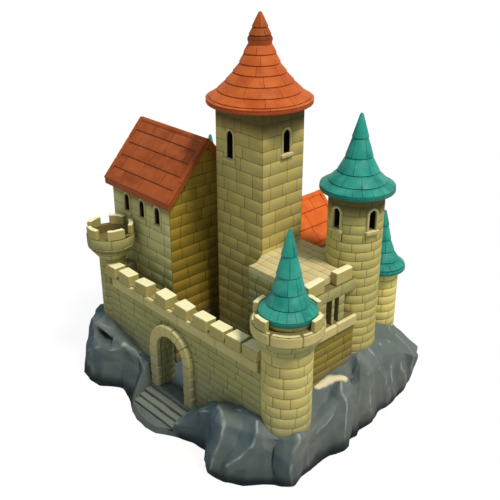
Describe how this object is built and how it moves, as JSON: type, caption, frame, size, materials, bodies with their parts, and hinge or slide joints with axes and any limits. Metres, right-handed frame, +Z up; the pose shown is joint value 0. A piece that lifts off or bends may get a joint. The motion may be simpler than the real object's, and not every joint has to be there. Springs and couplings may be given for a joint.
{
  "type": "walled castle with a square keep",
  "caption": "Small walled castle on a rock crag: square keep with flared tile roof, gabled hall, gallery, round towers and crenellated curtain walls around a gate arch.",
  "frame": {"origin": "on the crag's flat underside, under the court and near the keep's axis", "axes": "+Z up; the gate front faces -Y and the gallery side faces +X"},
  "size_m": [24.3343, 19.8876, 28.27],
  "materials": {
    "wall_stone": "coursed ashlar with dark joints",
    "dressed_stone": "pale dressed stone with worn edges",
    "flagstone": "worn stone flags",
    "step_stone": "worn grey stone",
    "crag_rock": "blue grey rock, rough",
    "red_tile": "matt red clay tiles",
    "teal_tile": "teal glazed tiles, satin",
    "floor_timber": "bare oak boards"
  },
  "bodies": {
    "root": {"approach_steps": "step_stone", "back_wall": "wall_stone", "corner_turret": "wall_stone", "corner_turret_merlons": "dressed_stone", "crag_back": "crag_rock", "crag_base": "crag_rock", "crag_front_left": "crag_rock", "crag_front_right": "crag_rock", "crag_left": "crag_rock", "crag_right": "crag_rock", "curtain_cornices": "dressed_stone", "far_tower_roof": "teal_tile", "far_tower_shaft": "wall_stone", "front_merlons": "dressed_stone", "front_tower_band": "dressed_stone", "front_tower_merlons": "dressed_stone", "front_tower_roof": "teal_tile", "front_tower_shaft": "wall_stone", "front_wall_left": "wall_stone", "front_wall_over_gate": "wall_stone", "front_wall_right": "wall_stone", "gallery_back_wall": "wall_stone", "gallery_floor": "flagstone", "gallery_front_wall": "wall_stone", "gallery_merlons": "dressed_stone", "gallery_parapet": "wall_stone", "gallery_piers": "wall_stone", "gallery_side_wall": "wall_stone", "gate_arch": "dressed_stone", "hall_back_wall": "wall_stone", "hall_floor": "floor_timber", "hall_front_wall": "wall_stone", "hall_gables": "wall_stone", "hall_roof": "red_tile", "hall_window_wall": "wall_stone", "keep_back_wall": "wall_stone", "keep_floor": "floor_timber", "keep_front_wall": "wall_stone", "keep_left_wall": "wall_stone", "keep_right_wall": "wall_stone", "keep_roof": "red_tile", "keep_roof_cap": "red_tile", "left_wall": "wall_stone", "range_gable": "wall_stone", "range_roof": "red_tile", "range_side_walls": "wall_stone", "rear_merlons": "dressed_stone", "rear_side_wall": "wall_stone", "rear_tower_roof": "teal_tile", "rear_tower_shaft": "wall_stone", "right_tower_floor": "floor_timber", "right_tower_roof": "teal_tile", "right_tower_shaft": "wall_stone", "right_tower_window_heads": "wall_stone", "right_tower_window_piers": "wall_stone", "right_wall": "wall_stone", "terrace": "flagstone", "window_sills": "dressed_stone", "window_surrounds": "dressed_stone"}
  },
  "joints": []
}
